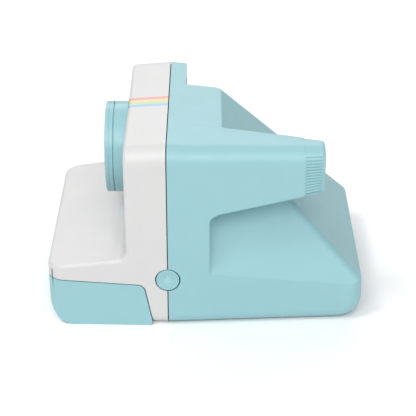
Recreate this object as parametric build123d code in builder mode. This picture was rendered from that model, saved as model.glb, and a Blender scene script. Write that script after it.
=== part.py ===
from build123d import *
import os
from math import hypot

os.makedirs("parts", exist_ok=True)

# A box-type instant camera, in millimetres. Z is up, the lens looks along -Y, and +X is the
# camera's own left, where the viewfinder is. Y is zero at the seam between the shells. Heights
# are taken from a datum a little above the underside, and save() raises each piece so that the
# underside rests at height zero.

# ---------------------------------------------------------------- driving dimensions
LENGTH = 150.0
FRONT = -57.0
REAR = FRONT + LENGTH
HALF_WIDTH = 55.0
TOP = 91.0
BOTTOM = -2.4
FOOT_CORNER = 6.0
WALL = 2.0
TAPER_FRONT = 0.030
TAPER_REAR = 0.058
TOP_DROP = 0.065
TOP_CORNER = 8.2
SEAM = 0.25
EDGE = 2.0

BOARD = -19.6
NOSE_TOP_FRONT = 29.1
NOSE_TOP_BACK = 33.7
NOSE_CORNER = 8.0
DOOR_LINE_FRONT = 22.75
DOOR_LINE_BACK = 20.1
STRIP_BOTTOM = -6.73
STRIP_SLANT = 4.37
GAP = 0.5

BAND = 19.7
FLASH_BACK = 8.0
SLOPE_TOP_Y = 25.4
SLOPE_TOP_Z = 89.0
RIM_REAR_Z = 18.8
RIDGE_TOP_X = 20.5
RIDGE_END_X = 48.6
RIM_FRONT = (53.8, 21.0, 25.3)

HEEL_R = 11.4
EYE_END = 63.2
CUP_END = 72.6

LENS_Z = 66.5
BARREL_R = 22.2
BARREL_FRONT = -30.4
BARREL_SPLIT = -26.1

HINGE_R = 2.2
ROLLER_R = 3.8
ROLLER_Y = -47.0
NIP_Z = 20.0
ROLLER_GAP = 0.1
RELEASE_Z = 22.9
RELEASE_R = 5.45
RELEASE_GAP = 0.55

CASSETTE_X = 47.5
CASSETTE_FRONT = -37.0
CASSETTE_BACK = 82.0
CASSETTE_BOTTOM = 4.8
CASSETTE_TOP = 18.8

# front shell
STRIPE_HALF = 5.4
STRIPE_DEPTH = 0.6
FLASH_WINDOW = (-49.0, -21.0, 69.0, 84.0)
FINDER_WINDOW = (32.0, 49.0, 68.0, 84.0)
WINDOW_CORNER = 2.5
SHUTTER_AT = (-38.0, 52.0)
SHUTTER_R = 6.5
TIMER_AT = (38.0, 50.0)
TIMER_R = 4.0
SENSORS = ((30.5, 58.5, 2.4), (40.0, 60.0, 1.8))
BUTTON_GAP = 0.3
LUG_X = 33.0
LUG_HALF = 3.0
PIN_R = 1.0
# the hinge axis is the centre of the door's rounded lower rear edge
SLANT = STRIP_SLANT / (DOOR_LINE_BACK - BOTTOM)
DOOR_HEEL = STRIP_BOTTOM - GAP
HINGE_Y = DOOR_HEEL - SLANT * HINGE_R - HINGE_R * hypot(1, SLANT)
HINGE_Z = BOTTOM + HINGE_R

# rear shell
TOP_FALL = (TOP - SLOPE_TOP_Z) / (SLOPE_TOP_Y - SEAM)
WEB_R = 4.0
WEB_REACH = 3.4
FINDER_START = 10.0
FINDER_BOTTOM = 54.0
FINDER_CLIMB = 11.0
FINDER_RISE = FINDER_CLIMB / (EYE_END - FINDER_START)
FINDER_INNER_X = 23.0
FINDER_TOP = 90.2
SADDLE_FOOT = 62.0
REAR_CORNER = 6.0
PANEL = (-39.0, -23.0, 79.0, 86.5)
POWER_AT = (-44.0, 70.0)
FLASH_BUTTON_AT = (-31.0, 70.0)
SMALL_R = 3.0
PLATE = (42.5, 7.0, 80.0)
LEDGE = 4.0
PLATE_DEPTH = 1.2
PLATE_TOP = BOTTOM + PLATE_DEPTH
SCREWS = ((39.5, 10.0), (-39.5, 10.0), (39.5, 77.0), (-39.5, 77.0))
SCREW_R = 0.9
PORT = (1.4, 4.8, 33.0, 42.0)
SEAL_INSET = 0.9

# film door
DOOR_NOSE_R = 13.0

# rollers
BRACKET_X = 47.0
BRACKET_T = 1.2
BRACKET_TOP = 26.8
BRACKET_FLOOR = BOTTOM + WALL + 0.2
UPPER_Z = NIP_Z + ROLLER_R + ROLLER_GAP
LOWER_Z = NIP_Z - ROLLER_R - ROLLER_GAP
SHAFT_R = 1.2
BUSH_R = 2.2

# gears
GEAR_X = -50.8
GEAR_T = 1.4
AXLE_R = 0.8
ROLLER_GEAR_R = 3.8
MOTOR_AT = (-10.2, 30.0)
FIRST_GEAR = (-17.0, 23.5, 7.0)
SECOND_GEAR = (-31.4, 21.5, 7.0)
IDLER_GEAR = (-40.7, 18.5, 2.2)
PINION_R = 2.0

# inner frame and optics
BLADE_PIVOT = 12.5
BLADE_DROP = 6.0
FOCUS_AT = (-5.7, LENS_Z - 5.7)
FOCUS_R = 13.5

# viewfinder
FINDER = (36.5, 47.5, 70.0, 83.0)
CUP_STEP = 0.35
GROOVE_DEPTH = 0.35
GROOVE_WIDTH = 0.6
GROOVE_PITCH = 1.5
GROOVE_COUNT = 13
GROOVE_FOOT = 66.6


# ---------------------------------------------------------------- helpers
def half_width(y):
    """Half the body's width at a station along its length."""
    if y > 0:
        return HALF_WIDTH - TAPER_REAR * y
    return HALF_WIDTH + TAPER_FRONT * y


def board_top(y):
    """Height of the front shell's top, which falls towards the front."""
    return TOP + TOP_DROP * y


def facing_front(y, x=0.0, z=0.0):
    """A plane across the camera: local x is X, local y is Z, and its normal points forward."""
    return Plane(origin=(x, y, z), x_dir=(1, 0, 0), z_dir=(0, -1, 0))


def nearest(items, *point):
    return items.sort_by_distance(point)[0]


def rim_edge(items, *point):
    """The circular edge that passes nearest a point."""
    return nearest(items.filter_by(GeomType.CIRCLE), *point)


def save(piece, name):
    """Writes a piece as a STEP file, raised so that the underside is at height zero."""
    solid = piece.part.moved(Location((0, 0, -BOTTOM)))
    solid.label = name
    export_step(solid, f"parts/{name}.step")


def slab(x0, x1, y0, y1, z0, z1):
    """A plain block between two corners."""
    with BuildPart() as block:
        with BuildSketch(Plane.XY.offset(z0)):
            with Locations(((x0 + x1) / 2, (y0 + y1) / 2)):
                Rectangle(x1 - x0, y1 - y0)
        extrude(amount=z1 - z0)
    return block


def ring(y_back, y_front, outer, inner=0.0, x=0.0, z=LENS_Z):
    """A disc or ring whose axis runs fore and aft."""
    with BuildPart() as disc:
        with BuildSketch(facing_front(y_back, x, z)):
            Circle(outer)
            if inner > 0:
                Circle(inner, mode=Mode.SUBTRACT)
        extrude(amount=y_back - y_front)
    return disc


def rod(x0, x1, y, z, radius, bore=0.0):
    """A round bar or tube whose axis runs across the camera."""
    with BuildPart() as bar:
        with BuildSketch(Plane(origin=(x0, y, z), x_dir=(0, 1, 0), z_dir=(1, 0, 0))):
            Circle(radius)
            if bore > 0:
                Circle(bore, mode=Mode.SUBTRACT)
        extrude(amount=x1 - x0)
    return bar


def rounded_plate(y_back, y_front, x0, x1, z0, z1, radius):
    """A plate across the camera with rounded corners."""
    with BuildPart() as plate:
        with BuildSketch(facing_front(y_back, (x0 + x1) / 2, (z0 + z1) / 2)):
            RectangleRounded(x1 - x0, z1 - z0, radius)
        extrude(amount=y_back - y_front)
    return plate


def section(y, x0, x1, z0, z1, radii):
    """A rounded box section; radii run outer top, inner top, inner bottom, outer bottom."""
    with BuildSketch(facing_front(y)) as outline:
        with BuildLine():
            Polyline((x1, z0), (x1, z1), (x0, z1), (x0, z0), close=True)
        make_face()
        fillet(nearest(vertices(), x1, z1, 0), radii[0])
        fillet(nearest(vertices(), x0, z1, 0), radii[1])
        fillet(nearest(vertices(), x0, z0, 0), radii[2])
        fillet(nearest(vertices(), x1, z0, 0), radii[3])
    return outline.sketch


def plan_prism(y_front, y_back, inset, corner):
    """The body's plan between two stations, as a tall prism."""
    front_half = half_width(y_front) - inset
    back_half = half_width(y_back) - inset
    with BuildPart() as prism:
        with BuildSketch(Plane.XY.offset(BOTTOM - 1)):
            with BuildLine():
                Polyline(
                    (back_half, y_back),
                    (front_half, y_front),
                    (-front_half, y_front),
                    (-back_half, y_back),
                    close=True,
                )
            make_face()
            if corner > 0:
                for side in (1, -1):
                    fillet(nearest(vertices(), side * front_half, y_front, 0), corner)
        extrude(amount=TOP - BOTTOM + 5)
    return prism.part


def foot_rounding(y_front, y_back, inset):
    """A long bar with the body's width, whose lower side edges are rounded."""
    radii = (1.0, 1.0, FOOT_CORNER - inset, FOOT_CORNER - inset)
    ends = []
    for y in (y_back, y_front):
        half = half_width(y) - inset
        ends.append(section(y, -half, half, BOTTOM + inset, TOP + 5, radii))
    with BuildPart() as bar:
        loft(ends)
    return bar.part


# ---------------------------------------------------------------- front shell
def window_cutter(x0, x1, z0, z1, radius):
    """Cuts a rounded opening through the lens board."""
    return rounded_plate(BOARD + WALL + 1, BOARD - 1, x0, x1, z0, z1, radius).part


def stripe_band(depth):
    """The inlay over the top and down to the lens barrel."""
    top_front = board_top(BOARD)
    foot = LENS_Z + BARREL_R - 1.0
    with BuildPart() as band:
        with BuildSketch(Plane.YZ.offset(-STRIPE_HALF)):
            with BuildLine():
                Polyline(
                    (-SEAM, board_top(-SEAM)),
                    (BOARD, top_front),
                    (BOARD, foot),
                    (BOARD + depth, foot),
                    (BOARD + depth, top_front - depth),
                    (-SEAM, board_top(-SEAM) - depth),
                    close=True,
                )
            make_face()
            fillet(nearest(vertices(), BOARD, top_front, 0), EDGE)
            fillet(nearest(vertices(), BOARD + depth, top_front - depth, 0), EDGE - depth)
        extrude(amount=2 * STRIPE_HALF)
    return band



def hollow_bar(y_back, y_front, half, z0, z1, top_corner, foot_corner):
    """A bar fore and aft with rounded corners, for cutting a hollow."""
    radii = (top_corner, top_corner, foot_corner, foot_corner)
    with BuildPart() as bar:
        add(section(y_back, -half, half, z0, z1, radii))
        extrude(amount=y_back - y_front, dir=(0, -1, 0))
    return bar.part


with BuildPart() as front_shell:
    with BuildSketch(Plane.YZ):
        with BuildLine():
            Polyline(
                (-SEAM, BOTTOM),
                (STRIP_BOTTOM, BOTTOM),
                (STRIP_BOTTOM - STRIP_SLANT, DOOR_LINE_BACK),
                (FRONT, DOOR_LINE_FRONT),
                (FRONT, NOSE_TOP_FRONT),
                (BOARD, NOSE_TOP_BACK),
                (BOARD, board_top(BOARD)),
                (-SEAM, board_top(-SEAM)),
                close=True,
            )
        make_face()
        fillet(nearest(vertices(), STRIP_BOTTOM - STRIP_SLANT, DOOR_LINE_BACK, 0), 4.0)
        fillet(nearest(vertices(), BOARD, NOSE_TOP_BACK, 0), 5.0)
    extrude(amount=HALF_WIDTH + 2, both=True)
    add(plan_prism(FRONT, 0, 0, NOSE_CORNER), mode=Mode.INTERSECT)
    add(foot_rounding(FRONT - 1, 1, 0), mode=Mode.INTERSECT)
    fillet([nearest(edges(), side * half_width(-10), -10, board_top(-10)) for side in (1, -1)],
           TOP_CORNER)
    fillet(
        [
            nearest(edges(), half_width(-36), -36, 31.8),
            nearest(edges(), -half_width(-36), -36, 31.8),
            nearest(edges(), half_width(BOARD), BOARD, 60),
            nearest(edges(), -half_width(BOARD), BOARD, 60),
            nearest(edges(), 0, BOARD, board_top(BOARD)),
            nearest(edges(), 0, FRONT, NOSE_TOP_FRONT),
        ],
        EDGE,
    )
    # hollow behind the lens board
    inner = half_width(BOARD) - WALL
    roof = board_top(BOARD) - WALL
    outer_top = TOP_CORNER - WALL
    outer_foot = FOOT_CORNER - WALL
    add(hollow_bar(1, STRIP_BOTTOM + 0.6, inner, BOTTOM + WALL, roof, outer_top, outer_foot),
        mode=Mode.SUBTRACT)
    add(hollow_bar(STRIP_BOTTOM + 0.7, BOARD + WALL, inner, BOTTOM + WALL, roof, outer_top,
                   outer_foot), mode=Mode.SUBTRACT)
    # hollow nose, open underneath
    with BuildSketch(Plane.YZ):
        with BuildLine():
            Polyline(
                (FRONT + WALL, DOOR_LINE_BACK - 4),
                (FRONT + WALL, NOSE_TOP_FRONT - WALL),
                (BOARD + WALL + 1, NOSE_TOP_BACK - WALL),
                (BOARD + WALL + 1, DOOR_LINE_BACK - 4),
                close=True,
            )
        make_face()
    extrude(
        amount=half_width(FRONT) - WALL,
        both=True,
        mode=Mode.SUBTRACT,
    )
    # openings in the lens board
    with BuildSketch(facing_front(BOARD + WALL + 1)):
        with Locations((0, LENS_Z)):
            Circle(14.0)
        with Locations(SHUTTER_AT):
            Circle(SHUTTER_R + BUTTON_GAP)
        with Locations(TIMER_AT):
            Circle(TIMER_R + BUTTON_GAP)
        for x, z, radius in SENSORS:
            with Locations((x, z)):
                Circle(radius)
    extrude(amount=WALL + 2, mode=Mode.SUBTRACT)
    add(window_cutter(*FLASH_WINDOW, WINDOW_CORNER), mode=Mode.SUBTRACT)
    add(window_cutter(*FINDER_WINDOW, WINDOW_CORNER), mode=Mode.SUBTRACT)
    add(stripe_band(STRIPE_DEPTH).part, mode=Mode.SUBTRACT)
    # half of the round hole for the door release
    add(rod(HALF_WIDTH - 6, HALF_WIDTH + 2, 0, RELEASE_Z, RELEASE_R + RELEASE_GAP).part,
        mode=Mode.SUBTRACT)
    # lugs that hold the door's hinge pin
    for side in (1, -1):
        with BuildSketch(Plane.YZ.offset(side * LUG_X - LUG_HALF)):
            with Locations((HINGE_Y, HINGE_Z)):
                Circle(HINGE_R - 0.2)
            with Locations(((HINGE_Y + STRIP_BOTTOM + 1) / 2, HINGE_Z - 0.3)):
                Rectangle(STRIP_BOTTOM + 1 - HINGE_Y, 2.6)
        extrude(amount=2 * LUG_HALF)
    add(rod(-50, 50, HINGE_Y, HINGE_Z, PIN_R).part, mode=Mode.SUBTRACT)
save(front_shell, "front_shell")

trim_stripe = stripe_band(STRIPE_DEPTH)
save(trim_stripe, "trim_stripe")


# ---------------------------------------------------------------- rear shell
def pyramid_side(side, inset):
    """The plane of a sloping side of the mirror housing, moved inwards by inset."""
    ridge_top = Vector(side * RIDGE_TOP_X, SLOPE_TOP_Y, SLOPE_TOP_Z)
    ridge_end = Vector(side * RIDGE_END_X, REAR - 0.3, RIM_REAR_Z)
    rim = Vector(side * RIM_FRONT[0], RIM_FRONT[1], RIM_FRONT[2])
    normal = (ridge_end - ridge_top).cross(rim - ridge_top).normalized()
    if normal.X * side < 0:
        normal = normal * -1
    return Plane(origin=ridge_top - normal * inset, z_dir=normal)


def outer_wedge(side, y_start, inset):
    """What lies outside a sloping side of the mirror housing, behind y_start."""
    with BuildPart() as wedge:
        with BuildSketch(Plane.XY.offset(-5)):
            with BuildLine():
                Polyline(
                    (0, y_start),
                    (side * 80, y_start),
                    (side * 80, REAR + 20),
                    (0, REAR + 20),
                    close=True,
                )
            make_face()
        extrude(amount=TOP + 25)
        split(bisect_by=pyramid_side(side, inset), keep=Keep.TOP)
    return wedge.part


def rear_block(inset):
    """The rear body without its viewfinder housing, solid, inset from the outside."""
    # a cavity runs on through the seam, so that its front is open
    start = SEAM
    plan = plan_prism(-0.01, REAR, 0, 0)
    if inset > 0:
        start = SEAM - inset - 2
        plan = plan_prism(-4, REAR, inset, 0)
    with BuildPart() as block:
        with BuildSketch(Plane.YZ):
            with BuildLine():
                Polyline(
                    (start, BOTTOM),
                    (REAR, BOTTOM),
                    (REAR - 0.3, RIM_REAR_Z),
                    (SLOPE_TOP_Y, SLOPE_TOP_Z),
                    (start, TOP + TOP_FALL * (SEAM - start)),
                    close=True,
                )
            make_face()
            fillet(nearest(vertices(), REAR, BOTTOM, 0), HEEL_R)
            if inset > 0:
                offset(amount=-inset, kind=Kind.INTERSECTION, mode=Mode.REPLACE)
        extrude(amount=HALF_WIDTH + 2, both=True)
        add(plan, mode=Mode.INTERSECT)
        fillet([nearest(edges(), side * (half_width(4) - inset), 4, TOP - inset)
                for side in (1, -1)], TOP_CORNER - inset)
        add(outer_wedge(1, BAND - inset, inset), mode=Mode.SUBTRACT)
        add(outer_wedge(-1, FLASH_BACK - inset, inset), mode=Mode.SUBTRACT)
    return block.part


def finder_housing(y_end, inset):
    """The tapering viewfinder housing from inside the frame band to y_end."""
    start = FINDER_START
    grow = (y_end - start) / (EYE_END - start)
    outer = TOP_CORNER - inset
    begin = section(start, FINDER_INNER_X + inset, half_width(start) - inset,
                    FINDER_BOTTOM + inset, FINDER_TOP - inset, (outer, 1.5, 1.0, 1.0))
    end = section(y_end, FINDER_INNER_X + 9.2 * grow + inset, half_width(y_end) - inset,
                  FINDER_BOTTOM + FINDER_CLIMB * grow + inset, FINDER_TOP - 1.4 * grow - inset,
                  (outer - 0.2, 1.5 + 4.5 * grow - inset / 2, 1.0 + 2.0 * grow, 1.0 + 0.5 * grow))
    return end, begin


with BuildPart() as finder_outer:
    loft(finder_housing(EYE_END, 0))

with BuildPart() as finder_cavity:
    loft(finder_housing(EYE_END, WALL))

# The inside corner between the frame band and the underside of the viewfinder housing.
web_z = 54.0 + FINDER_RISE * (BAND - 10.0)
with BuildPart() as corner_web:
    with BuildSketch(Plane.YZ.offset(28)):
        with BuildLine():
            Polyline(
                (BAND - 2, web_z - WEB_REACH),
                (BAND, web_z - WEB_REACH),
                (BAND, web_z),
                (BAND + WEB_REACH, web_z + FINDER_RISE * WEB_REACH),
                (BAND + WEB_REACH, web_z + 4),
                (BAND - 2, web_z + 4),
                close=True,
            )
        make_face()
        fillet(nearest(vertices(), BAND, web_z, 0), WEB_R)
    extrude(amount=HALF_WIDTH - 28)
    add(plan_prism(-0.01, REAR, 0, 0), mode=Mode.INTERSECT)

# The sloping back runs on sideways until it meets the viewfinder housing.
slope_fall = (SLOPE_TOP_Z - RIM_REAR_Z) / (REAR - 0.3 - SLOPE_TOP_Y)
saddle_end = SLOPE_TOP_Y + (SLOPE_TOP_Z - SADDLE_FOOT) / slope_fall
with BuildPart() as saddle:
    with BuildSketch(Plane.YZ.offset(14)):
        with BuildLine():
            Polyline(
                (12, SADDLE_FOOT),
                (saddle_end, SADDLE_FOOT),
                (SLOPE_TOP_Y, SLOPE_TOP_Z),
                (12, SLOPE_TOP_Z + TOP_FALL * (SLOPE_TOP_Y - 12)),
                close=True,
            )
        make_face()
    extrude(amount=13.5)

rear_half = half_width(REAR)

with BuildPart() as rear_shell:
    add(rear_block(0))
    fillet(
        [nearest(edges(), side * rear_half, REAR, 13) for side in (1, -1)]
        + [nearest(edges(), side * (rear_half + 0.2), REAR - 3.3, BOTTOM + 3.3)
           for side in (1, -1)]
        + [nearest(edges(), side * half_width(40), 40, BOTTOM) for side in (1, -1)],
        REAR_CORNER,
    )
    fillet([nearest(edges(), side * 34.5, 59, 54) for side in (1, -1)], 5.0)
    add(saddle.part)
    fillet(nearest(edges(), 0, SLOPE_TOP_Y, SLOPE_TOP_Z), 2.0)
    fillet(
        [nearest(edges(), 0, REAR, RIM_REAR_Z), nearest(edges(), 51.8, 56, 20.9),
         nearest(edges(), -52, 50, 22)],
        1.5,
    )
    add(finder_outer.part)
    add(corner_web.part)
    # hollow for the film chamber, the mirror and the viewfinder
    add(rear_block(WALL), mode=Mode.SUBTRACT)
    add(finder_cavity.part, mode=Mode.SUBTRACT)
    # recess and opening for the base plate, with its screw bosses
    plate_half, plate_front, plate_back = PLATE
    add(slab(-plate_half, plate_half, plate_front, plate_back, BOTTOM - 1, PLATE_TOP).part,
        mode=Mode.SUBTRACT)
    add(slab(-plate_half + LEDGE, plate_half - LEDGE, plate_front + LEDGE, plate_back - LEDGE,
             BOTTOM, BOTTOM + WALL + 1).part, mode=Mode.SUBTRACT)
    for x, y in SCREWS:
        with BuildSketch(Plane.XY.offset(PLATE_TOP)):
            with Locations((x, y)):
                Circle(2.6)
        extrude(amount=2.6)
        with BuildSketch(Plane.XY.offset(BOTTOM - 1)):
            with Locations((x, y)):
                Circle(SCREW_R)
        extrude(amount=6, mode=Mode.SUBTRACT)
    # panel opening and two button holes in the back of the flash housing
    add(rounded_plate(FLASH_BACK + 1, FLASH_BACK - 3, *PANEL, 1.0).part, mode=Mode.SUBTRACT)
    for x, z in (POWER_AT, FLASH_BUTTON_AT):
        add(ring(FLASH_BACK + 1, FLASH_BACK - 3, SMALL_R + 0.2, 0, x, z).part, mode=Mode.SUBTRACT)
    # charging port in the far side
    add(slab(-HALF_WIDTH - 1, -HALF_WIDTH + 3, *PORT).part, mode=Mode.SUBTRACT)
    # the other half of the door release hole
    add(rod(HALF_WIDTH - 6, HALF_WIDTH + 2, 0, RELEASE_Z, RELEASE_R + RELEASE_GAP).part,
        mode=Mode.SUBTRACT)
save(rear_shell, "rear_shell")

with BuildPart() as base_plate:
    with BuildSketch(Plane.XY.offset(BOTTOM)):
        with Locations((0, (plate_front + plate_back) / 2)):
            Rectangle(2 * plate_half - 0.4, plate_back - plate_front - 0.4)
    extrude(amount=PLATE_DEPTH)
    with BuildSketch(Plane.XY.offset(PLATE_TOP)):
        for side in (1, -1):
            with Locations((side * 30, 43)):
                Rectangle(4, 60)
    extrude(amount=CASSETTE_BOTTOM - PLATE_TOP)
    for x, y in SCREWS:
        with BuildSketch(Plane.XY.offset(BOTTOM)):
            with Locations((x, y)):
                Circle(SCREW_R)
        extrude(amount=PLATE_DEPTH, mode=Mode.SUBTRACT)
        with BuildSketch(Plane.XY.offset(BOTTOM)):
            with Locations((x, y)):
                Circle(1.9)
        extrude(amount=0.7, mode=Mode.SUBTRACT)
save(base_plate, "base_plate")

with BuildPart() as case_screws:
    for x, y in SCREWS:
        with BuildSketch(Plane.XY.offset(BOTTOM + 0.1)):
            with Locations((x, y)):
                Circle(1.8)
        extrude(amount=0.6)
        with BuildSketch(Plane.XY.offset(BOTTOM + 0.7)):
            with Locations((x, y)):
                Circle(SCREW_R)
        extrude(amount=2.6)
        with BuildSketch(Plane.XY.offset(BOTTOM + 0.1)):
            with Locations((x, y)):
                Rectangle(1.8, 0.4)
                Rectangle(0.4, 1.8)
        extrude(amount=0.35, mode=Mode.SUBTRACT)
save(case_screws, "case_screws")

# a dark seal fills the seam a little below the surface
with BuildPart() as light_seal:
    seal_half = half_width(0) - SEAL_INSET
    seal_top = TOP - SEAL_INSET - 0.05
    seal_corner = TOP_CORNER - SEAL_INSET
    foot_corner = FOOT_CORNER - SEAL_INSET
    with BuildSketch(facing_front(SEAM)):
        with BuildLine():
            Polyline(
                (seal_half, BOTTOM + SEAL_INSET),
                (seal_half, seal_top),
                (-seal_half, seal_top),
                (-seal_half, BOTTOM + SEAL_INSET),
                close=True,
            )
        make_face()
        for side in (1, -1):
            fillet(nearest(vertices(), side * seal_half, seal_top, 0), seal_corner)
            fillet(nearest(vertices(), side * seal_half, BOTTOM, 0), foot_corner)
        offset(amount=-1.1, mode=Mode.SUBTRACT)
    extrude(amount=2 * SEAM)
    add(rod(HALF_WIDTH - 6, HALF_WIDTH + 2, 0, RELEASE_Z, RELEASE_R + RELEASE_GAP).part,
        mode=Mode.SUBTRACT)
save(light_seal, "light_seal")

# ---------------------------------------------------------------- film door
# the hollow that holds the rollers, open above and behind
with BuildPart() as door_tray:
    with BuildSketch(Plane.YZ):
        with BuildLine():
            Polyline(
                (0, BOTTOM + WALL),
                (FRONT + 13, BOTTOM + WALL),
                (FRONT + 5.0, 3.8),
                (FRONT + WALL + 0.6, 12),
                (FRONT + WALL, DOOR_LINE_FRONT + 2),
                (0, DOOR_LINE_FRONT + 2),
                close=True,
            )
        make_face()
    extrude(amount=HALF_WIDTH, both=True)
    add(hollow_bar(0, FRONT, half_width(FRONT) - WALL, BOTTOM + WALL, DOOR_LINE_FRONT + 3, 0.5,
                   FOOT_CORNER - WALL), mode=Mode.INTERSECT)

with BuildPart() as film_door:
    heel_top = DOOR_HEEL - SLANT * (DOOR_LINE_BACK - GAP - BOTTOM)
    with BuildSketch(Plane.YZ):
        with BuildLine():
            Polyline(
                (DOOR_HEEL, BOTTOM),
                (heel_top, DOOR_LINE_BACK - GAP),
                (FRONT, DOOR_LINE_FRONT - GAP),
                (FRONT + 0.7, BOTTOM),
                close=True,
            )
        make_face()
        fillet(nearest(vertices(), DOOR_HEEL, BOTTOM, 0), HINGE_R)
        fillet(nearest(vertices(), heel_top, DOOR_LINE_BACK - GAP, 0), 3.6)
        fillet(nearest(vertices(), FRONT + 0.7, BOTTOM, 0), DOOR_NOSE_R)
    extrude(amount=HALF_WIDTH + 2, both=True)
    add(plan_prism(FRONT, 0, 0, NOSE_CORNER), mode=Mode.INTERSECT)
    add(foot_rounding(FRONT - 1, 1, 0), mode=Mode.INTERSECT)
    add(door_tray.part, mode=Mode.SUBTRACT)
    # film exit slot along the top of the front wall
    add(slab(-44, 44, FRONT - 1, FRONT + WALL + 1, NIP_Z + 0.6, DOOR_LINE_FRONT + 1).part,
        mode=Mode.SUBTRACT)
    # hinge knuckle across the heel, cut away around the body's lugs
    add(rod(-50, 50, HINGE_Y, HINGE_Z, HINGE_R - 0.01).part)
    for side in (1, -1):
        add(slab(side * LUG_X - LUG_HALF - 0.3, side * LUG_X + LUG_HALF + 0.3,
                 HINGE_Y - HINGE_R - 0.5, 0, BOTTOM - 1, 8).part, mode=Mode.SUBTRACT)
    add(rod(-50.4, 50.4, HINGE_Y, HINGE_Z, PIN_R + 0.06).part, mode=Mode.SUBTRACT)
save(film_door, "film_door")

door_hinge_pin = rod(-50, 50, HINGE_Y, HINGE_Z, PIN_R)
save(door_hinge_pin, "door_hinge_pin")

with BuildPart() as door_hook:
    with BuildSketch(Plane.YZ.offset(half_width(FRONT) - WALL - 1.8)):
        with BuildLine():
            Polyline((-22, 9), (-22, 14), (-5, 17), (-5, 13.6), (-8, 13.6), (-12, 9), close=True)
        make_face()
    extrude(amount=1.8)
save(door_hook, "door_hook")

# ---------------------------------------------------------------- rollers
with BuildPart() as roller_bracket:
    with BuildSketch(Plane.XY.offset(BRACKET_FLOOR)):
        with Locations((0, ROLLER_Y + 5.0)):
            Rectangle(2 * (BRACKET_X + BRACKET_T), 4)
    extrude(amount=1.2)
    for side in (1, -1):
        with BuildSketch(Plane.YZ.offset(side * (BRACKET_X + BRACKET_T / 2) - BRACKET_T / 2)):
            with BuildLine():
                Polyline(
                    (ROLLER_Y + 6, BRACKET_FLOOR),
                    (ROLLER_Y + 4, 8.0),
                    (ROLLER_Y + 4, BRACKET_TOP),
                    (ROLLER_Y - 4, BRACKET_TOP),
                    (ROLLER_Y - 4, 6.5),
                    (ROLLER_Y + 3.5, BRACKET_FLOOR),
                    close=True,
                )
            make_face()
        extrude(amount=BRACKET_T)
    for z in (LOWER_Z, UPPER_Z):
        add(rod(-50, 50, ROLLER_Y, z, BUSH_R).part, mode=Mode.SUBTRACT)
save(roller_bracket, "roller_bracket")

with BuildPart() as roller_bushes:
    for side in (1, -1):
        for z in (LOWER_Z, UPPER_Z):
            middle = side * (BRACKET_X + BRACKET_T / 2)
            add(rod(middle - BRACKET_T / 2, middle + BRACKET_T / 2, ROLLER_Y, z, BUSH_R,
                    SHAFT_R + 0.05).part)
save(roller_bushes, "roller_bushes")


# ---------------------------------------------------------------- gears
def toothed(y, z, radius, teeth, bore):
    """A spur gear with simple teeth, its axis across the camera."""
    with BuildPart() as gear:
        with BuildSketch(Plane(origin=(GEAR_X, y, z), x_dir=(0, 1, 0), z_dir=(1, 0, 0))):
            Circle(radius - 0.5)
            with PolarLocations(radius - 0.35, teeth):
                Rectangle(0.7, 0.45 * 2 * 3.1416 * radius / teeth)
            if bore > 0:
                Circle(bore, mode=Mode.SUBTRACT)
        extrude(amount=GEAR_T)
    return gear


def roller(z):
    """A steel roller with stub shafts and its gear on the far end."""
    with BuildPart() as piece:
        add(rod(-46.5, 46.5, ROLLER_Y, z, ROLLER_R).part)
        add(rod(GEAR_X, 49.0, ROLLER_Y, z, SHAFT_R).part)
    return piece


lower_roller = roller(LOWER_Z)
save(lower_roller, "lower_roller")
upper_roller = roller(UPPER_Z)
save(upper_roller, "upper_roller")
lower_roller_gear = toothed(ROLLER_Y, LOWER_Z, ROLLER_GEAR_R, 14, SHAFT_R)
save(lower_roller_gear, "lower_roller_gear")
upper_roller_gear = toothed(ROLLER_Y, UPPER_Z, ROLLER_GEAR_R, 14, SHAFT_R)
save(upper_roller_gear, "upper_roller_gear")


first_gear = toothed(*FIRST_GEAR, 28, AXLE_R + 0.05)
save(first_gear, "first_gear")
second_gear = toothed(*SECOND_GEAR, 28, AXLE_R + 0.05)
save(second_gear, "second_gear")
idler_gear = toothed(*IDLER_GEAR, 9, AXLE_R + 0.05)
save(idler_gear, "idler_gear")

with BuildPart() as gear_plate:
    with BuildSketch(Plane.YZ.offset(-49.0)):
        with BuildLine():
            Polyline((-43.5, 16), (-43.5, 21), (-31, 26), (-14, 28), (-9, 23), (-14, 19),
                     (-31, 17), close=True)
        make_face()
    extrude(amount=0.6)
    for y, z, radius in (FIRST_GEAR, SECOND_GEAR, IDLER_GEAR):
        add(rod(GEAR_X - 0.2, -49.0, y, z, AXLE_R).part)
save(gear_plate, "gear_plate")

drive_motor = rod(-46, -24, *MOTOR_AT, 5.3)
save(drive_motor, "drive_motor")

with BuildPart() as motor_pinion:
    add(toothed(*MOTOR_AT, PINION_R, 8, 0).part)
    add(rod(GEAR_X, -46.1, *MOTOR_AT, 0.7).part)
save(motor_pinion, "motor_pinion")

pick_arm = slab(-48.9, -48.2, -2, 60, 9, 13)
save(pick_arm, "pick_arm")

# ---------------------------------------------------------------- film
with BuildPart() as film_cassette:
    add(slab(-CASSETTE_X, CASSETTE_X, CASSETTE_FRONT, CASSETTE_BACK, CASSETTE_BOTTOM,
             CASSETTE_TOP).part)
    add(slab(-CASSETTE_X + 1.2, CASSETTE_X - 1.2, CASSETTE_FRONT + 1.2, CASSETTE_BACK - 1.2,
             CASSETTE_BOTTOM + 1.2, CASSETTE_TOP - 1.2).part, mode=Mode.SUBTRACT)
    add(slab(-40, 40, -1, 79, CASSETTE_TOP - 2, CASSETTE_TOP + 1).part, mode=Mode.SUBTRACT)
    add(slab(-44.5, 44.5, CASSETTE_FRONT - 1, CASSETTE_FRONT + 2, CASSETTE_TOP - 3,
             CASSETTE_TOP - 1.5).part, mode=Mode.SUBTRACT)
save(film_cassette, "film_cassette")

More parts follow.
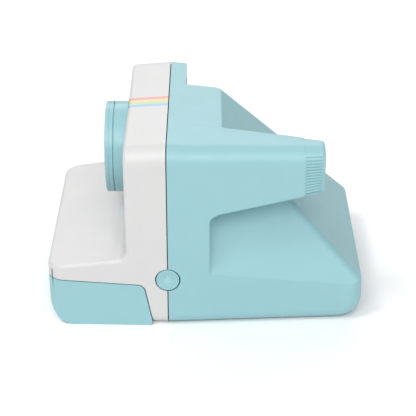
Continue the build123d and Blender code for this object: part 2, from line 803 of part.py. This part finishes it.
with BuildPart() as film_sheets:
    for number in range(8):
        height = CASSETTE_BOTTOM + 3.4 + 1.1 * number
        add(slab(-43.8, 43.8, -29, 78, height, height + 0.5).part)
save(film_sheets, "film_sheets")

pressure_plate = slab(-42, 42, -25, 75, CASSETTE_BOTTOM + 1.2, CASSETTE_BOTTOM + 2.4)
save(pressure_plate, "pressure_plate")

# ---------------------------------------------------------------- inner frame and optics
with BuildPart() as chassis:
    add(slab(-40, 40, -4.6, -3.2, 21.6, 84).part)
    add(ring(0, -6, 9.0, 0).part, mode=Mode.SUBTRACT)
    add(slab(-44, 44, -4.6, 84, 20.2, 21.6).part)
    add(slab(-40, 40, 1, 80, 19, 23).part, mode=Mode.SUBTRACT)
    add(slab(36, 41, -6, 0, 69, 86).part, mode=Mode.SUBTRACT)
save(chassis, "chassis")

with BuildPart() as lens_barrel_rear:
    add(ring(BOARD, BARREL_SPLIT, BARREL_R, 19.5).part)
    fillet(rim_edge(edges(), BARREL_R, BARREL_SPLIT, LENS_Z), 0.3)
save(lens_barrel_rear, "lens_barrel_rear")

with BuildPart() as lens_barrel_front:
    add(ring(BARREL_SPLIT, BARREL_SPLIT - 0.5, BARREL_R - 0.7, 19.5).part)
    add(ring(BARREL_SPLIT - 0.5, BARREL_FRONT, BARREL_R, 19.5).part)
    fillet(rim_edge(edges(), BARREL_R, BARREL_FRONT, LENS_Z), 0.6)
    add(ring(-28.35, -28.6, BARREL_R + 1, BARREL_R - 0.2).part, mode=Mode.SUBTRACT)
save(lens_barrel_front, "lens_barrel_front")


def turned(points, arc=None):
    """A body of revolution about the lens axis, from (radius, y) points."""
    with BuildPart() as body:
        with BuildSketch(Plane(origin=(0, 0, LENS_Z), x_dir=(1, 0, 0), z_dir=(0, 0, 1))):
            with BuildLine():
                line = Polyline(*points)
                if arc:
                    ThreePointArc(line @ 1, arc, line @ 0)
                else:
                    Line(line @ 1, line @ 0)
            make_face()
        revolve(axis=Axis((0, 0, LENS_Z), (0, 1, 0)))
    return body


lens_bezel = turned([(19.4, -29.9), (19.4, -24.5), (12.0, -20.2), (10.2, -20.2),
                     (10.2, -22.8), (18.4, -29.9)])
save(lens_bezel, "lens_bezel")
front_lens = turned([(10.1, -22.6), (10.1, -20.4), (0, -20.4), (0, -24.2)], (5.2, -23.8))
save(front_lens, "front_lens")
lens_cell = ring(-12.0, -20.1, 13.8, 8.8)
save(lens_cell, "lens_cell")
rear_lens = ring(-13.5, -15.8, 8.7)
save(rear_lens, "rear_lens")

with BuildPart() as shutter_housing:
    add(ring(-10.6, -11.8, 18.0, 5.5).part)
    for side in (1, -1):
        add(ring(-8.6, -10.6, 0.8, 0, side * BLADE_PIVOT, LENS_Z - BLADE_DROP).part)
save(shutter_housing, "shutter_housing")


def shutter_blade(side, y_back):
    with BuildPart() as blade:
        with BuildSketch(facing_front(y_back, 0, LENS_Z)):
            with BuildLine():
                Polyline((-side * 3.6, 5.4), (side * BLADE_PIVOT, -BLADE_DROP + 2),
                         (side * BLADE_PIVOT, -BLADE_DROP - 2), (-side * 3.6, -5.4), close=True)
            make_face()
            Circle(6.5)
            with Locations((side * BLADE_PIVOT, -BLADE_DROP)):
                Circle(2.2)
                Circle(0.9, mode=Mode.SUBTRACT)
        extrude(amount=0.4)
    return blade


shutter_blade_left = shutter_blade(1, -9.8)
save(shutter_blade_left, "shutter_blade_left")
shutter_blade_right = shutter_blade(-1, -9.0)
save(shutter_blade_right, "shutter_blade_right")
with BuildPart() as shutter_cover:
    add(ring(-7.6, -8.6, 18.0, 6.0).part)
    add(ring(-4.6, -7.6, 1.0, 0, *FOCUS_AT).part)
save(shutter_cover, "shutter_cover")

with BuildPart() as focus_disc:
    add(ring(-5.6, -6.9, FOCUS_R, 0, *FOCUS_AT).part)
    for x, z in ((0, LENS_Z), (2 * FOCUS_AT[0], LENS_Z)):
        add(ring(-5, -7.5, 4.8, 0, x, z).part, mode=Mode.SUBTRACT)
    add(ring(-5, -7.5, 1.06, 0, *FOCUS_AT).part, mode=Mode.SUBTRACT)
save(focus_disc, "focus_disc")

with BuildPart() as focus_lenses:
    for x, z in ((0, LENS_Z), (2 * FOCUS_AT[0], LENS_Z)):
        add(ring(-5.8, -6.7, 4.8, 0, x, z).part)
save(focus_lenses, "focus_lenses")

with BuildPart() as hood_inside:
    loft([section(20.1, -17, 17, 41, 83, (0.5,) * 4),
          section(-3.3, -10, 10, LENS_Z - 10, LENS_Z + 10, (0.5,) * 4)])

with BuildPart() as light_hood:
    loft([section(20, -18, 18, 40, 84, (1,) * 4),
          section(-3.2, -11, 11, LENS_Z - 11, LENS_Z + 11, (1,) * 4)])
    add(hood_inside.part, mode=Mode.SUBTRACT)
save(light_hood, "light_hood")

slope_angle_y = REAR - 0.3 - SLOPE_TOP_Y
slope_angle_z = SLOPE_TOP_Z - RIM_REAR_Z
slope_plane = Plane(origin=(0, SLOPE_TOP_Y, SLOPE_TOP_Z), x_dir=(1, 0, 0),
                    z_dir=(0, slope_angle_z, slope_angle_y))


def mirror_sheet(depth, thickness, top, bottom, top_half, bottom_half):
    """A trapezoid sheet parallel to the sloping back, depth below its outside."""
    with BuildPart() as sheet:
        with BuildSketch(slope_plane.offset(-depth)):
            with BuildLine():
                Polyline((top_half, top), (bottom_half, bottom), (-bottom_half, bottom),
                         (-top_half, top), close=True)
            make_face()
        extrude(amount=thickness)
    return sheet


mirror = mirror_sheet(4.4, 1.6, 10, 80, 16, 37)
save(mirror, "mirror")

# ---------------------------------------------------------------- viewfinder
with BuildPart() as finder_tube:
    add(rounded_plate(61, -17, *FINDER, 1.5).part)
    add(rounded_plate(62, -18, FINDER[0] + 1, FINDER[1] - 1, FINDER[2] + 1, FINDER[3] - 1,
                      1.0).part, mode=Mode.SUBTRACT)
save(finder_tube, "finder_tube")
finder_window = rounded_plate(BOARD + 1.5, BOARD + 0.1, FINDER_WINDOW[0] + 0.05,
                              FINDER_WINDOW[1] - 0.05, FINDER_WINDOW[2] + 0.05,
                              FINDER_WINDOW[3] - 0.05, WINDOW_CORNER)
save(finder_window, "finder_window")
finder_objective = rounded_plate(-12, -14.5, FINDER[0] + 1.05, FINDER[1] - 1.05,
                                 FINDER[2] + 1.05, FINDER[3] - 1.05, 1.0)
save(finder_objective, "finder_objective")
eyepiece_lens = rounded_plate(60, 57.5, FINDER[0] + 1.05, FINDER[1] - 1.05,
                              FINDER[2] + 1.05, FINDER[3] - 1.05, 1.0)
save(eyepiece_lens, "eyepiece_lens")

# The eyecup steps in a little from the housing and has fine grooves down its sides, level at
# the top and following the rising underside at the bottom.
groove_y0 = EYE_END + 0.5
groove_y1 = CUP_END - 1.4

with BuildPart() as cup_core:
    loft([finder_housing(CUP_END, CUP_STEP + GROOVE_DEPTH)[0],
          finder_housing(EYE_END - 0.2, CUP_STEP + GROOVE_DEPTH)[0]])

with BuildPart() as groove_cutter:
    for number in range(GROOVE_COUNT):
        low = GROOVE_FOOT + GROOVE_PITCH * number
        rise = FINDER_RISE * (groove_y1 - groove_y0) * (1 - number / (GROOVE_COUNT - 1))
        with BuildSketch(Plane.YZ.offset(28)):
            with BuildLine():
                Polyline(
                    (groove_y0, low),
                    (groove_y1, low + rise),
                    (groove_y1, low + rise + GROOVE_WIDTH),
                    (groove_y0, low + GROOVE_WIDTH),
                    close=True,
                )
            make_face()
        extrude(amount=30)
    add(cup_core.part, mode=Mode.SUBTRACT)

with BuildPart() as eyecup:
    loft([finder_housing(CUP_END, CUP_STEP)[0], finder_housing(EYE_END, CUP_STEP)[0]])
    fillet(faces().sort_by(Axis.Y)[-1].edges(), 1.6)
    add(rounded_plate(CUP_END + 1, EYE_END - 1, 36.5, 47.5, 70.5, 83.5, 3.0).part,
        mode=Mode.SUBTRACT)
    add(groove_cutter.part, mode=Mode.SUBTRACT)
save(eyecup, "eyecup")

# ---------------------------------------------------------------- flash
flash_window = rounded_plate(BOARD + 1.5, BOARD + 0.1, FLASH_WINDOW[0] + 0.05,
                             FLASH_WINDOW[1] - 0.05, FLASH_WINDOW[2] + 0.05,
                             FLASH_WINDOW[3] - 0.05, WINDOW_CORNER)
save(flash_window, "flash_window")

with BuildPart() as reflector_inside:
    loft([section(-10.7, -44.3, -25.7, 74.7, 78.3, (0.5,) * 4),
          section(-17.7, -47.3, -22.7, 70.7, 82.3, (0.5,) * 4)])

with BuildPart() as flash_reflector:
    loft([section(-10, -45, -25, 74, 79, (1,) * 4),
          section(-17.6, -48, -22, 70, 83, (1,) * 4)])
    add(reflector_inside.part, mode=Mode.SUBTRACT)
save(flash_reflector, "flash_reflector")
flash_tube = rod(-44, -26, -13.0, 76.5, 1.3)
save(flash_tube, "flash_tube")
flash_capacitor = rod(-50, -24, 1.6, 60, 4.3)
save(flash_capacitor, "flash_capacitor")

# ---------------------------------------------------------------- electronics
with BuildPart() as main_board:
    add(slab(-49, -24, 3.0, 4.2, 24, 52).part)
    for x, z, size in ((-42, 45, 6), (-32, 44, 5), (-38, 31, 8), (-29, 30, 4)):
        add(slab(x - size / 2, x + size / 2, 1.6, 3.0, z - size / 2, z + size / 2).part)
save(main_board, "main_board")
battery = slab(-48, -24, -13.6, -7, 37, 64)
save(battery, "battery")
with BuildPart() as charging_port:
    port_y0, _, port_z0, port_z1 = PORT
    add(slab(-54.4, -49.2, port_y0 + 0.1, 3.0, port_z0 + 0.1, port_z1 - 0.1).part)
    add(slab(-55, -50.2, port_y0 + 0.5, 2.6, port_z0 + 0.6, port_z1 - 0.6).part,
        mode=Mode.SUBTRACT)
save(charging_port, "charging_port")

display_panel = rounded_plate(FLASH_BACK + 0.5, FLASH_BACK - 1.6, PANEL[0] + 0.05,
                              PANEL[1] - 0.05, PANEL[2] + 0.05, PANEL[3] - 0.05, 1.0)
save(display_panel, "display_panel")

with BuildPart() as sensor_windows:
    for x, z, radius in SENSORS:
        add(ring(BOARD + 1.2, BOARD + 0.05, radius - 0.03, 0, x, z).part)
save(sensor_windows, "sensor_windows")


# ---------------------------------------------------------------- buttons
def front_button(at, radius, proud, name):
    """A round button through the lens board with a wider flange behind it."""
    x, z = at
    with BuildPart() as button:
        add(ring(BOARD + WALL + 0.1, BOARD - proud, radius, 0, x, z).part)
        fillet(rim_edge(edges(), x + radius, BOARD - proud, z), 0.5)
        add(ring(BOARD + WALL + 0.9, BOARD + WALL + 0.1, radius + 1.2, 0, x, z).part)
    save(button, name)


def rear_button(at, name):
    """A small round button in the back of the flash housing."""
    x, z = at
    with BuildPart() as button:
        add(ring(FLASH_BACK + 0.6, FLASH_BACK - WALL - 0.1, SMALL_R, 0, x, z).part)
        fillet(rim_edge(edges(), x + SMALL_R, FLASH_BACK + 0.6, z), 0.3)
        add(ring(FLASH_BACK - WALL - 0.1, FLASH_BACK - WALL - 0.8, SMALL_R + 0.8, 0, x, z).part)
    save(button, name)


front_button(SHUTTER_AT, SHUTTER_R, 1.6, "shutter_button")
front_button(TIMER_AT, TIMER_R, 0.9, "timer_button")
rear_button(POWER_AT, "power_button")
rear_button(FLASH_BUTTON_AT, "flash_button")

with BuildPart() as button_switches:
    for x, z in (SHUTTER_AT, TIMER_AT):
        add(ring(-13.6, -15.1, 1.6, 0, x, z).part)
    for x, z in (POWER_AT, FLASH_BUTTON_AT):
        add(ring(3.9, 2.4, 1.6, 0, x, z).part)
save(button_switches, "button_switches")

with BuildPart() as release_button:
    add(rod(HALF_WIDTH - 2.6, HALF_WIDTH, 0, RELEASE_Z, RELEASE_R).part)
    fillet(rim_edge(edges(), HALF_WIDTH, RELEASE_R, RELEASE_Z), 0.4)
    add(rod(47, HALF_WIDTH - 2.6, 0, RELEASE_Z, 1.3).part)
save(release_button, "release_button")
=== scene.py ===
import bpy
from math import cos, radians, sin
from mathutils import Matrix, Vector


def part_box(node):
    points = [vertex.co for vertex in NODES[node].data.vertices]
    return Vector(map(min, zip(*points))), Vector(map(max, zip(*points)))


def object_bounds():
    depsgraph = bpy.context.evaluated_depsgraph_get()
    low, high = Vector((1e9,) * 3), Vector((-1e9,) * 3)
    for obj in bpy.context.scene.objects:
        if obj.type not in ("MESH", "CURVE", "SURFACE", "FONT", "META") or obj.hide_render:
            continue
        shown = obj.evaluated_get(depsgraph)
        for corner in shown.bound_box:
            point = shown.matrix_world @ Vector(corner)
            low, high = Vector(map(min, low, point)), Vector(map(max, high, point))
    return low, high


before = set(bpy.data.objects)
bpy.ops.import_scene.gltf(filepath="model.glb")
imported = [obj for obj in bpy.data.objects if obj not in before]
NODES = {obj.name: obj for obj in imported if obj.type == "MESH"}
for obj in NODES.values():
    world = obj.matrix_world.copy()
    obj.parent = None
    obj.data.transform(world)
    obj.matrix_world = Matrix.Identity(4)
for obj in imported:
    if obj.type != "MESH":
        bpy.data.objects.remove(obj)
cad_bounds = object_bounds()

MM = 0.001
scene = bpy.context.scene
scene.view_settings.view_transform = "Standard"

# main colours, as linear red, green and blue
WHITE = (0.614, 0.610, 0.608)
TEAL = (0.283, 0.514, 0.556)
STRIPE = {
    "coral": (0.70, 0.33, 0.31),
    "amber": (0.78, 0.58, 0.32),
    "mint": (0.46, 0.63, 0.40),
    "sky": (0.33, 0.50, 0.66),
}

# a noise texture's values lie mostly between these two
NOISE_LOW = 0.3
NOISE_HIGH = 0.7

# sockets of the Mix node when it mixes colours
MIX_FACTOR, MIX_A, MIX_B, MIX_RESULT = 0, 6, 7, 2

FLOOR_SIZE = 30
WORLD_STRENGTH = 0.27
LIGHT_AIM = Vector((0, 0.02, 0.04))

VIEW_TARGET = Vector((0, 18.99, 34.26)) * MM
VIEW_DISTANCE = 687.8 * MM
VIEW_HEIGHT = radians(28.61)
VIEW_LENS = 118.18
VIEW_SENSOR = 36


# ------------------------------------------------------------------ material helpers
class Tree:
    """A material's node tree with short ways to add and join nodes."""

    def __init__(self, name, colour=None, roughness=0.5, **inputs):
        self.material = bpy.data.materials.new(name)
        self.material.use_nodes = True
        self.nodes = self.material.node_tree.nodes
        self.links = self.material.node_tree.links
        self.shader = self.nodes["Principled BSDF"]
        self.shader.inputs["Roughness"].default_value = roughness
        if colour:
            self.shader.inputs["Base Color"].default_value = (*colour, 1)
        for key, value in inputs.items():
            self.shader.inputs[key.replace("_", " ")].default_value = value

    def add(self, kind, **inputs):
        node = self.nodes.new("ShaderNode" + kind)
        for key, value in inputs.items():
            node.inputs[key.replace("_", " ")].default_value = value
        return node

    def join(self, a, a_socket, b, b_socket):
        self.links.new(a.outputs[a_socket], b.inputs[b_socket])

    def place(self):
        """Coordinates in the piece's own frame, in metres."""
        return self.add("TexCoord")

    def noise(self, scale, detail=2.0, roughness=0.5, source=None):
        node = self.add("TexNoise", Scale=scale, Detail=detail, Roughness=roughness)
        source = source or self.place()
        self.join(source, "Object", node, "Vector")
        return node

    def spread(self, source, socket, low, high):
        """A value from 0..1 turned into low..high."""
        node = self.add("MapRange", To_Min=low, To_Max=high)
        node.inputs["From Min"].default_value = NOISE_LOW
        node.inputs["From Max"].default_value = NOISE_HIGH
        self.join(source, socket, node, "Value")
        return node

    def tint(self, source, socket, dark, light):
        """A colour between dark and light, by source."""
        ramp = self.add("ValToRGB")
        ramp.color_ramp.elements[0].position = NOISE_LOW
        ramp.color_ramp.elements[0].color = (*dark, 1)
        ramp.color_ramp.elements[1].position = NOISE_HIGH
        ramp.color_ramp.elements[1].color = (*light, 1)
        self.join(source, socket, ramp, "Fac")
        self.join(ramp, "Color", self.shader, "Base Color")
        return ramp

    def maths(self, operation, a, b):
        """One sum on two values; each is a number or a (node, socket) pair."""
        node = self.add("Math")
        node.operation = operation
        for number, value in enumerate((a, b)):
            if isinstance(value, tuple):
                self.links.new(value[0].outputs[value[1]], node.inputs[number])
            else:
                node.inputs[number].default_value = value
        return node, "Value"

    def bump(self, source, socket, depth, strength=1.0, under=None):
        """Height in metres as a bump on the shader, over an earlier bump."""
        node = self.add("Bump", Strength=strength, Distance=depth)
        self.join(source, socket, node, "Height")
        if under:
            self.join(under, "Normal", node, "Normal")
        self.join(node, "Normal", self.shader, "Normal")
        return node


def shade(colour, factor):
    """A colour made lighter or darker by a factor."""
    return tuple(min(1.0, c * factor) for c in colour)


def moulded(name, colour, roughness, grain_mm=0.35, grain_depth=0.012, mottle=0.012, **inputs):
    """Injection-moulded plastic: a spark-eroded grain, faint mottling and uneven gloss."""
    tree = Tree(name, roughness=roughness, **inputs)
    cloud = tree.noise(55, detail=3)
    tree.tint(cloud, "Fac", shade(colour, 1 - mottle), shade(colour, 1 + mottle))
    polish = tree.noise(240, detail=4)
    rough = tree.spread(polish, "Fac", roughness - 0.04, roughness + 0.04)
    tree.join(rough, "Result", tree.shader, "Roughness")
    grain = tree.noise(1 / (grain_mm * MM), detail=2.5, roughness=0.6)
    flow = tree.noise(26, detail=1)
    wave = tree.bump(flow, "Fac", 0.10 * MM, 0.35)
    tree.bump(grain, "Fac", grain_depth * MM, 1.0, under=wave)
    return tree.material


def turned_metal(name, colour, roughness, axis, lines_per_mm=6.0, depth=0.004):
    """Metal with fine tool marks across the given axis."""
    tree = Tree(name, colour, roughness, Metallic=1.0)
    place = tree.place()
    stretch = tree.add("Mapping")
    scale = [40.0, 40.0, 40.0]
    scale[axis] = lines_per_mm / MM
    stretch.inputs["Scale"].default_value = scale
    tree.join(place, "Object", stretch, "Vector")
    marks = tree.add("TexNoise", Scale=1.0, Detail=3.0, Roughness=0.6)
    tree.join(stretch, "Vector", marks, "Vector")
    tree.tint(marks, "Fac", shade(colour, 0.88), shade(colour, 1.08))
    rough = tree.spread(marks, "Fac", roughness - 0.07, roughness + 0.09)
    tree.join(rough, "Result", tree.shader, "Roughness")
    tree.bump(marks, "Fac", depth * MM, 0.8)
    return tree.material


def clear(name, colour, roughness, ior, smear=0.03, **inputs):
    """Glass or clear plastic with faint wiping marks."""
    tree = Tree(name, colour, roughness, IOR=ior, **inputs)
    tree.shader.inputs["Transmission Weight"].default_value = 1.0
    wipe = tree.noise(180, detail=5)
    rough = tree.spread(wipe, "Fac", roughness, roughness + smear)
    tree.join(rough, "Result", tree.shader, "Roughness")
    tree.bump(wipe, "Fac", 0.002 * MM, 0.4)
    return tree.material


# ------------------------------------------------------------------ materials
white_shell = moulded("white_shell", WHITE, 0.42)
teal_shell = moulded("teal_shell", TEAL, 0.42)
teal_part = moulded("teal_part", TEAL, 0.38, grain_mm=0.5, grain_depth=0.006)
grey_plastic = moulded("grey_plastic", (0.22, 0.23, 0.235), 0.5, grain_mm=0.4, grain_depth=0.02)
black_plastic = moulded("black_plastic", (0.018, 0.018, 0.02), 0.42, grain_mm=0.3, grain_depth=0.02)
matt_black = moulded("matt_black", (0.012, 0.012, 0.013), 0.75, grain_mm=0.25, grain_depth=0.03)
white_plastic = moulded("white_plastic", (0.62, 0.62, 0.61), 0.38, grain_mm=0.6, grain_depth=0.008)
orange_plastic = moulded("orange_plastic", (0.78, 0.16, 0.045), 0.3,
                         grain_mm=0.6, grain_depth=0.005)
soft_rubber = moulded("soft_rubber", (0.02, 0.02, 0.022), 0.8, grain_mm=0.3, grain_depth=0.03)

ground_steel = turned_metal("ground_steel", (0.56, 0.57, 0.58), 0.27, 0)
stamped_steel = turned_metal("stamped_steel", (0.46, 0.47, 0.48), 0.38, 1, lines_per_mm=3.0)
black_steel = turned_metal("black_steel", (0.06, 0.06, 0.065), 0.36, 2, lines_per_mm=4.0)
turned_brass = turned_metal("turned_brass", (0.70, 0.50, 0.22), 0.28, 0)
drawn_aluminium = turned_metal("drawn_aluminium", (0.68, 0.69, 0.70), 0.33, 0, lines_per_mm=2.0)
bright_foil = turned_metal("bright_foil", (0.86, 0.87, 0.88), 0.10, 2,
                           lines_per_mm=2.0, depth=0.002)
silvered = turned_metal("silvered", (0.90, 0.91, 0.92), 0.03, 1,
                        lines_per_mm=0.5, depth=0.0004)

lens_glass = clear("lens_glass", (0.93, 0.96, 1.0), 0.01, 1.52,
                   Coat_Weight=0.8, Coat_Tint=(0.75, 0.62, 0.95, 1))
window_plastic = clear("window_plastic", (0.90, 0.94, 0.95), 0.03, 1.49)
flash_plastic = clear("flash_plastic", (0.93, 0.95, 0.97), 0.08, 1.49)
tinted = moulded("tinted", (0.012, 0.014, 0.018), 0.08,
                 grain_mm=2.0, grain_depth=0.002, Coat_Weight=0.6)


def banded(name, colours, start, end):
    """A printed stripe of equal bands between two stations along X, under a satin varnish."""
    tree = Tree(name, roughness=0.36)
    place = tree.place()
    split = tree.add("SeparateXYZ")
    tree.join(place, "Object", split, "Vector")
    along = tree.add("MapRange")
    along.inputs["From Min"].default_value = start
    along.inputs["From Max"].default_value = end
    tree.join(split, "X", along, "Value")
    ramp = tree.add("ValToRGB")
    ramp.color_ramp.interpolation = "CONSTANT"
    for number, colour in enumerate(colours):
        place_on = number / len(colours)
        points = ramp.color_ramp.elements
        point = points[number] if number < 2 else points.new(place_on)
        point.position = place_on
        point.color = (*colour, 1)
    tree.join(along, "Result", ramp, "Fac")
    speck = tree.noise(4000, detail=2)
    shift = tree.spread(speck, "Fac", 0.97, 1.03)
    tone = tree.add("HueSaturation")
    tree.join(shift, "Result", tone, "Value")
    tree.join(ramp, "Color", tone, "Color")
    tree.join(tone, "Color", tree.shader, "Base Color")
    tree.bump(speck, "Fac", 0.006 * MM, 0.8)
    return tree.material


stripe_low, stripe_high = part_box("trim_stripe")
stripe_print = banded("stripe_print", tuple(STRIPE.values()), stripe_low[0], stripe_high[0])


def dished(name, node, colour, mark):
    """A round button across X: a shallow dish and a small triangle on its face, drawn in a lighter
    tone as a painted highlight of an embossed mark.
    """
    low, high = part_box(node)
    tree = Tree(name, roughness=0.38)
    split = tree.add("SeparateXYZ")
    tree.join(tree.place(), "Object", split, "Vector")
    radius = (high[2] - low[2]) / 2
    across = tree.maths("SUBTRACT", (split, "Y"), (low[1] + high[1]) / 2)
    across = tree.maths("DIVIDE", across, radius)
    up = tree.maths("SUBTRACT", (split, "Z"), (low[2] + high[2]) / 2)
    up = tree.maths("DIVIDE", up, radius)
    square = tree.maths("ADD", tree.maths("MULTIPLY", across, across),
                        tree.maths("MULTIPLY", up, up))
    # the triangle is where its three sides' distances are all positive
    half = 0.22
    edge = tree.maths("ADD", up, half)
    for side in (1, -1):
        lean = tree.maths("MULTIPLY", across, 0.87 * side)
        drop = tree.maths("MULTIPLY", up, 0.5)
        slope = tree.maths("SUBTRACT", half, tree.maths("ADD", lean, drop))
        edge = tree.maths("MINIMUM", edge, slope)
    inside = tree.maths("GREATER_THAN", edge, 0.0)
    grain = tree.noise(2000, detail=2)
    # the triangle's lighter tone is painted highlight, standing in for light catching an embossed
    # mark
    tone = tree.add("Mix")
    tone.data_type = "RGBA"
    tone.inputs[MIX_A].default_value = (*colour, 1)
    tone.inputs[MIX_B].default_value = (*mark, 1)
    tree.join(*inside, tone, MIX_FACTOR)
    tree.join(tone, MIX_RESULT, tree.shader, "Base Color")
    dish = tree.bump(*square, 0.5 * MM)
    tree.bump(grain, "Fac", 0.006 * MM, 1.0, under=dish)
    return tree.material


def ribbed_lens():
    """The flash's clear front, moulded with fine upright ribs."""
    tree = Tree("ribbed_lens", (0.93, 0.95, 0.97), 0.06, IOR=1.49)
    tree.shader.inputs["Transmission Weight"].default_value = 1.0
    ribs = tree.add("TexWave", Scale=190.0, Distortion=0.0)
    ribs.bands_direction = "X"
    tree.join(tree.place(), "Object", ribs, "Vector")
    tree.bump(ribs, "Fac", 0.5 * MM, 0.8)
    return tree.material


def board_green():
    """Solder mask over copper tracks."""
    tree = Tree("board_green", roughness=0.3)
    place = tree.place()
    cells = tree.add("TexBrick", Scale=260.0, Mortar_Size=0.012)
    cells.inputs["Color1"].default_value = (0.010, 0.080, 0.040, 1)
    cells.inputs["Color2"].default_value = (0.012, 0.100, 0.048, 1)
    cells.inputs["Mortar"].default_value = (0.030, 0.170, 0.080, 1)
    turn = tree.add("Mapping")
    turn.inputs["Rotation"].default_value = (radians(90), 0, 0)
    tree.join(place, "Object", turn, "Vector")
    tree.join(turn, "Vector", cells, "Vector")
    tree.join(cells, "Color", tree.shader, "Base Color")
    tree.bump(cells, "Fac", 0.03 * MM, 0.6)
    return tree.material


def sheet_paper():
    """Film units: glossy fronts with a soft fibre in the borders."""
    tree = Tree("sheet_paper", roughness=0.35)
    fibre = tree.noise(900, detail=6, roughness=0.7)
    tree.tint(fibre, "Fac", (0.70, 0.70, 0.68), (0.78, 0.78, 0.76))
    tree.bump(fibre, "Fac", 0.01 * MM, 0.6)
    return tree.material


def wrap_film():
    """Shrink wrap on the battery, with shallow creases."""
    tree = Tree("wrap_film", roughness=0.25)
    crease = tree.noise(120, detail=6, roughness=0.7)
    tree.tint(crease, "Fac", (0.03, 0.09, 0.22), (0.045, 0.12, 0.28))
    tree.bump(crease, "Fac", 0.15 * MM, 0.6)
    return tree.material


# the lighter teal of the button's triangle is a painted highlight
button_face = dished("button_face", "release_button", TEAL, shade(TEAL, 1.14))
flash_lens = ribbed_lens()
green_board = board_green()
film_paper = sheet_paper()
battery_wrap = wrap_film()

FINISH = {
    white_shell: ["front_shell"],
    teal_shell: ["rear_shell", "eyecup"],
    teal_part: ["film_door", "lens_barrel_front", "lens_barrel_rear"],
    button_face: ["release_button"],
    stripe_print: ["trim_stripe"],
    grey_plastic: ["base_plate", "door_hook", "flash_button", "roller_bushes"],
    black_plastic: ["film_cassette", "lens_bezel", "flash_capacitor", "button_switches"],
    matt_black: ["chassis", "light_hood", "finder_tube", "lens_cell", "shutter_housing",
                 "shutter_cover", "focus_disc"],
    white_plastic: ["first_gear", "second_gear", "idler_gear", "lower_roller_gear",
                    "upper_roller_gear", "power_button", "timer_button"],
    orange_plastic: ["shutter_button"],
    soft_rubber: ["light_seal"],
    ground_steel: ["lower_roller", "upper_roller", "door_hinge_pin"],
    stamped_steel: ["gear_plate", "pick_arm", "pressure_plate", "roller_bracket",
                    "charging_port"],
    black_steel: ["case_screws", "shutter_blade_left", "shutter_blade_right"],
    turned_brass: ["motor_pinion"],
    drawn_aluminium: ["drive_motor"],
    bright_foil: ["flash_reflector"],
    silvered: ["mirror"],
    lens_glass: ["front_lens", "rear_lens", "focus_lenses", "finder_objective", "eyepiece_lens"],
    window_plastic: ["finder_window"],
    flash_plastic: ["flash_tube"],
    flash_lens: ["flash_window"],
    tinted: ["display_panel", "sensor_windows"],
    green_board: ["main_board"],
    film_paper: ["film_sheets"],
    battery_wrap: ["battery"],
}
for finish, names in FINISH.items():
    for name in names:
        NODES[name].data.materials.clear()
        NODES[name].data.materials.append(finish)


# ------------------------------------------------------------------ floor, light and camera
def white_floor():
    """Matt white paint with a faint speckle."""
    tree = Tree("floor_paint", (0.93, 0.93, 0.93), 0.6)
    speck = tree.noise(300, detail=3)
    tree.tint(speck, "Fac", (0.925, 0.925, 0.925), (0.94, 0.94, 0.94))
    return tree.material


def lay_floor(size):
    """A level square floor, size metres across, under the instant camera."""
    mesh = bpy.data.meshes.new("floor")
    half = size / 2
    corners = [(-half, -half, 0), (half, -half, 0), (half, half, 0), (-half, half, 0)]
    mesh.from_pydata(corners, [], [(0, 1, 2, 3)])
    floor = bpy.data.objects.new("floor", mesh)
    floor.location.z = cad_bounds[0][2]
    mesh.materials.append(white_floor())
    scene.collection.objects.link(floor)


def soft_light(name, direction, distance, width, height, watts):
    """A soft box that looks at the instant camera's middle from a direction."""
    data = bpy.data.lights.new(name, "AREA")
    data.shape = "RECTANGLE"
    data.size = width
    data.size_y = height
    data.energy = watts
    lamp = bpy.data.objects.new(name, data)
    aim = Vector(direction).normalized()
    lamp.location = LIGHT_AIM + aim * distance
    lamp.rotation_euler = aim.to_track_quat("Z", "Y").to_euler()
    scene.collection.objects.link(lamp)


lay_floor(FLOOR_SIZE)
world = bpy.data.worlds.new("studio")
scene.world = world
world.use_nodes = True
world.node_tree.nodes["Background"].inputs["Color"].default_value = (1, 1, 1, 1)
world.node_tree.nodes["Background"].inputs["Strength"].default_value = WORLD_STRENGTH
soft_light("key", (0.35, -0.55, 1.0), 1.8, 0.45, 0.45, 9.0)
soft_light("overhead", (0, 0, 1.0), 1.8, 1.6, 1.6, 2.8)
soft_light("overhead_front", (0, -0.5, 1.0), 1.8, 1.0, 1.0, 2.8)
soft_light("high_side", (1.0, -0.1, 1.0), 2.0, 1.4, 1.0, 21.5)
soft_light("rear_side", (1.0, 0.9, 0.6), 2.2, 1.4, 1.2, 7.2)
soft_light("far_sheen", (-1.0, 0, 0.6), 1.8, 2.4, 0.6, 13.5)

lens = bpy.data.cameras.new("studio_camera")
lens.sensor_width = VIEW_SENSOR
lens.lens = VIEW_LENS
lens.clip_start = 0.01
eye = bpy.data.objects.new("studio_camera", lens)
outward = Vector((cos(VIEW_HEIGHT), 0, sin(VIEW_HEIGHT)))
eye.location = VIEW_TARGET + outward * VIEW_DISTANCE
eye.rotation_euler = outward.to_track_quat("Z", "Y").to_euler()
scene.collection.objects.link(eye)
scene.camera = eye
